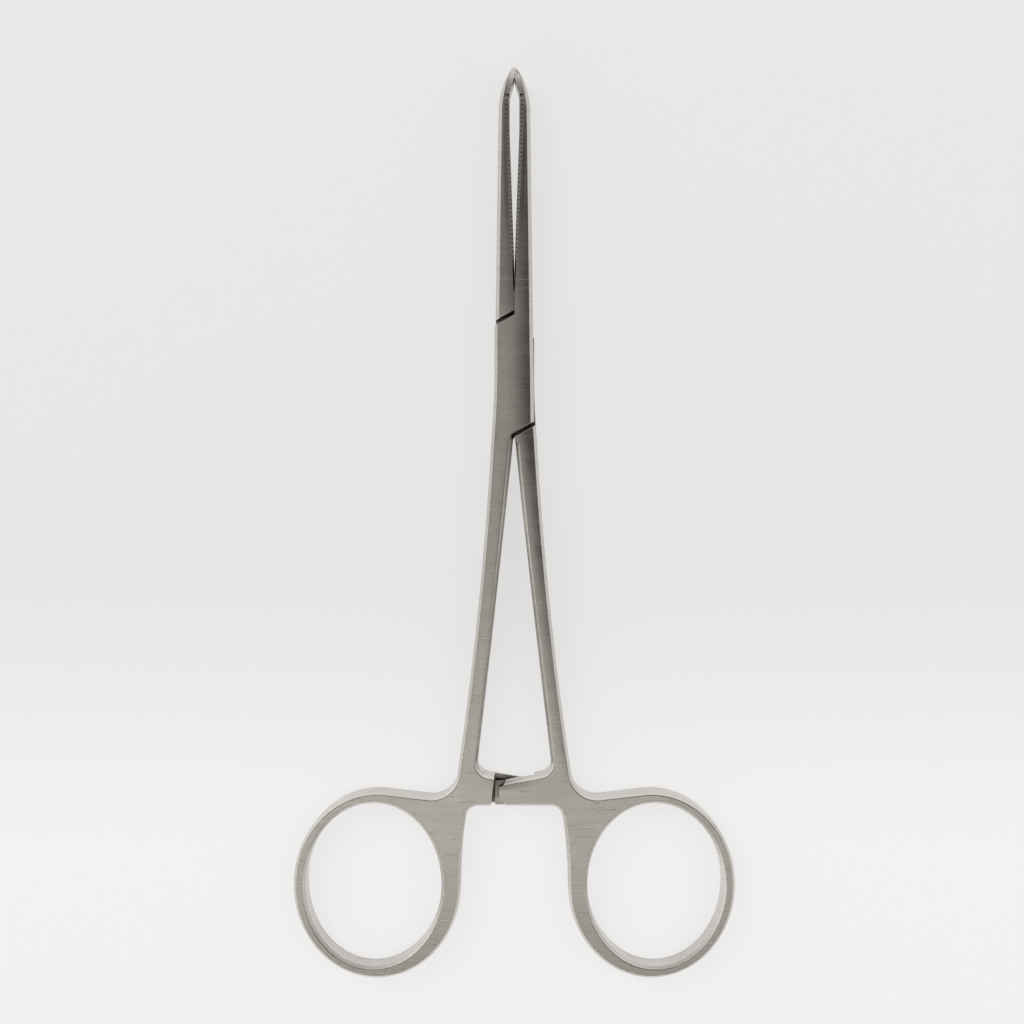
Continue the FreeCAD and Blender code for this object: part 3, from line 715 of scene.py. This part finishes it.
@dataclass
class Studio:
    """The floor, the light and the camera.

    Attributes:
        rest_low: height of the rings' undersides.
        rest_far: how far from the box's lower edge they touch the floor.
        box_edge: the Y of the box's lower edge.
        floor_half: half the floor's side.
        camera_x: the camera's place over the instrument.
        camera_y: the camera's place over the instrument.
        camera_z: the camera's height.
        centre_px: where the camera's axis meets the picture, in pixels from its top left.
        focal_px: the focal length in pixels.
        background: the floor's finish.
        sky_places: where the skies' values lie, from 0 behind the rings to 1 beyond the tips.
        left_sky: the strength of the light overhead on the left at those places.
        middle_sky: the same straight overhead.
        right_sky: the same on the right.
        sky_tint: the colour of all three.
        dark_band: the unlit room between what is overhead and the horizon.
        left_horizon: the white wall near the floor on the left.
        right_horizon: the same on the right.
        bright_end: the wall beyond the tips.
        left_to_middle: how far across the left sky turns into the middle one.
        middle_to_right: how far across that turns into the right one.
        band_up: how high the unlit room starts and how low it is darkest.
        band_along: how far behind the rings it starts and where it is whole.
        band_share: how dark it gets.
        side_to_side: how far across the left horizon turns into the right one.
        towards_end: how far along the horizon turns into the wall beyond the tips.
        horizon_up: how high the horizon ends and from where it is whole.
        left_lamp: where the left soft box hangs.
        right_lamp: where the right one hangs.
        lamp_side: the side of each.
        lamp_aim: where both point.
    """

    rest_low: float = 0.6 * MM
    rest_far: float = 83.9 * MM
    box_edge: float = -9.0 * MM
    floor_half: float = 3.0
    camera_x: float = 2.4 * MM
    camera_y: float = -17.8 * MM
    camera_z: float = 152.2 * MM
    centre_px: tuple[float, float] = (530.0, 490.0)
    focal_px: float = 969.0
    background: StudioWhite = field(default_factory=StudioWhite)
    sky_places: tuple[float, ...] = (
        0.25, 0.3, 0.335, 0.36, 0.39, 0.46, 0.5,
        0.55, 0.6, 0.65, 0.7, 0.76, 0.84,
    )
    left_sky: tuple[float, ...] = (
        0.24, 0.62, 1.55, 1.55, 0.25, 0.50, 0.62,
        0.51, 0.50, 0.30, 0.16, 0.50, 1.10,
    )
    middle_sky: tuple[float, ...] = (
        0.24, 0.58, 1.30, 1.45, 0.50, 0.59, 0.50,
        0.37, 0.33, 0.22, 0.15, 0.50, 1.10,
    )
    right_sky: tuple[float, ...] = (
        0.24, 0.58, 1.35, 1.30, 0.10, 0.04, 0.02,
        0.02, 0.02, 0.02, 0.02, 0.35, 1.00,
    )
    sky_tint: Colour = (1.0, 0.965, 0.91)
    dark_band: Colour = (0.09, 0.085, 0.08)
    left_horizon: Colour = (1.34, 1.35, 1.33)
    right_horizon: Colour = (0.95, 0.96, 0.94)
    bright_end: Colour = (1.28, 1.28, 1.26)
    left_to_middle: tuple[float, float] = (-0.22, -0.02)
    middle_to_right: tuple[float, float] = (0.0, 0.18)
    band_up: tuple[float, float] = (0.93, 0.8)
    band_along: tuple[float, float] = (-0.45, -0.15)
    band_share: float = 0.8
    side_to_side: tuple[float, float] = (-0.5, 0.5)
    towards_end: tuple[float, float] = (0.2, 0.9)
    horizon_up: tuple[float, float] = (0.55, 0.33)
    left_lamp: tuple[float, float, float] = (-0.45, 0.35, 0.4)
    right_lamp: tuple[float, float, float] = (0.5, 0.1, 0.45)
    lamp_side: float = 0.4
    lamp_aim: tuple[float, float, float] = (0.0, -0.02, 0.0)

    def floor(self) -> bpy.types.Object:
        """Lays the floor under the box lock and the rings, on which the instrument rests.

        Returns:
            The floor.
        """
        lean = -self.rest_low / self.rest_far
        reach = self.floor_half
        corners = []
        for x, y in ((-reach, -reach), (reach, -reach), (reach, reach), (-reach, reach)):
            corners.append((x, y, (y - self.box_edge) * lean))
        mesh = bpy.data.meshes.new("floor")
        mesh.from_pydata(corners, [], [(0, 1, 2, 3)])
        mesh.materials.append(self.background.material())
        floor = bpy.data.objects.new("floor", mesh)
        bpy.context.scene.collection.objects.link(floor)
        return floor

    def stops(self, sky: Sequence[float]) -> list[tuple[float, Colour]]:
        """The stops of one sky.

        Args:
            sky: its strengths.

        Returns:
            Each stop's place and colour.
        """
        red, green, blue = self.sky_tint
        return [(place, (red * v, green * v, blue * v)) for place, v in zip(self.sky_places, sky)]

    def sky(self) -> None:
        """Surrounds the scene with a white room: pale at the horizon and dimmer overhead."""
        world = bpy.data.worlds.new("studio")
        world.use_nodes = True
        bpy.context.scene.world = world
        nodes = Nodes(world.node_tree)
        way = nodes.out(nodes.add("ShaderNodeTexCoord"), "Generated")
        axes = nodes.add("ShaderNodeSeparateXYZ", None, {0: way})
        across, along, up = (nodes.out(axes, axis) for axis in ("X", "Y", "Z"))
        place = along * 0.5 + 0.5
        left, middle, right = (
            nodes.out(nodes.add("ShaderNodeValToRGB", {"stops": self.stops(sky)}, {0: place}))
            for sky in (self.left_sky, self.middle_sky, self.right_sky)
        )
        overhead = nodes.mixed(across.step(*self.left_to_middle), left, middle)
        overhead = nodes.mixed(across.step(*self.middle_to_right), overhead, right)
        band = up.step(*self.band_up) * along.step(*self.band_along)
        overhead = nodes.mixed(band * self.band_share, overhead, self.dark_band)
        sideways = across.step(*self.side_to_side)
        low = nodes.mixed(sideways, self.left_horizon, self.right_horizon)
        low = nodes.mixed(along.step(*self.towards_end), low, self.bright_end)
        colour = nodes.mixed(up.step(*self.horizon_up), overhead, low)
        paths = nodes.add("ShaderNodeLightPath")
        colour = nodes.mixed(nodes.out(paths, "Is Camera Ray"), colour, self.background.far)
        light = nodes.add("ShaderNodeBackground", None, {"Color": colour, "Strength": 1.0})
        target = nodes.add("ShaderNodeOutputWorld")
        nodes.tree.links.new(light.outputs[0], target.inputs["Surface"])

    def lamp(self, name: str, place: Sequence[float], power: float) -> bpy.types.Object:
        """Hangs a soft box that faces the instrument.

        Args:
            name: the lamp's name.
            place: where it hangs.
            power: its strength in watts.

        Returns:
            The lamp.
        """
        data = bpy.data.lights.new(name, "AREA")
        data.shape = "SQUARE"
        data.size = self.lamp_side
        data.energy = power
        lamp = bpy.data.objects.new(name, data)
        lamp.visible_glossy = False
        lamp.location = place
        aim = Vector(self.lamp_aim) - Vector(place)
        lamp.rotation_euler = aim.to_track_quat("-Z", "Y").to_euler()
        bpy.context.scene.collection.objects.link(lamp)
        return lamp

    def camera(self) -> bpy.types.Object:
        """Hangs the camera straight over the instrument, with the tips at the top of the picture.

        Returns:
            The camera.
        """
        data = bpy.data.cameras.new("camera")
        data.sensor_width = SENSOR_WIDTH
        data.lens = self.focal_px / IMAGE_SIDE * SENSOR_WIDTH
        data.shift_x = (IMAGE_SIDE / 2 - self.centre_px[0]) / IMAGE_SIDE
        data.shift_y = (self.centre_px[1] - IMAGE_SIDE / 2) / IMAGE_SIDE
        data.clip_start = 0.01
        camera = bpy.data.objects.new("camera", data)
        camera.location = (self.camera_x, self.camera_y, self.camera_z)
        bpy.context.scene.collection.objects.link(camera)
        bpy.context.scene.camera = camera
        return camera

    def build(self) -> None:
        """Sets up the whole studio."""
        self.floor()
        self.sky()
        self.lamp("left_soft_box", self.left_lamp, 2.0)
        self.lamp("right_soft_box", self.right_lamp, 1.2)
        self.camera()
        bpy.context.scene.view_settings.view_transform = "Standard"


def main() -> None:
    """Builds the instrument and its studio."""
    logging.basicConfig(level=logging.INFO, format="%(name)s: %(message)s")
    left_shank = Crown(jaw_x=0.3 * MM, shank_x=-1.0 * MM, shank_run=-6.0 * MM)
    right_shank = Crown(jaw_x=-1.2 * MM, shank_x=0.6 * MM, shank_run=6.0 * MM)
    left_finish = SatinSteel("box_arm_steel", left_shank)
    right_finish = SatinSteel("inner_arm_steel", right_shank)
    pin_finish = SatinSteel("pin_steel", left_shank, grain=Grain.ASKEW)
    pieces = [
        SteelPiece("box_arm", "box_arm", "arm_steel", left_finish),
        SteelPiece("inner_arm", "inner_arm", "arm_steel", right_finish),
        SteelPiece("pivot_pin", "box_arm", "pin_steel", pin_finish),
    ]
    for piece in pieces:
        piece.build()
    Studio().build()


if __name__ == "__main__":
    main()
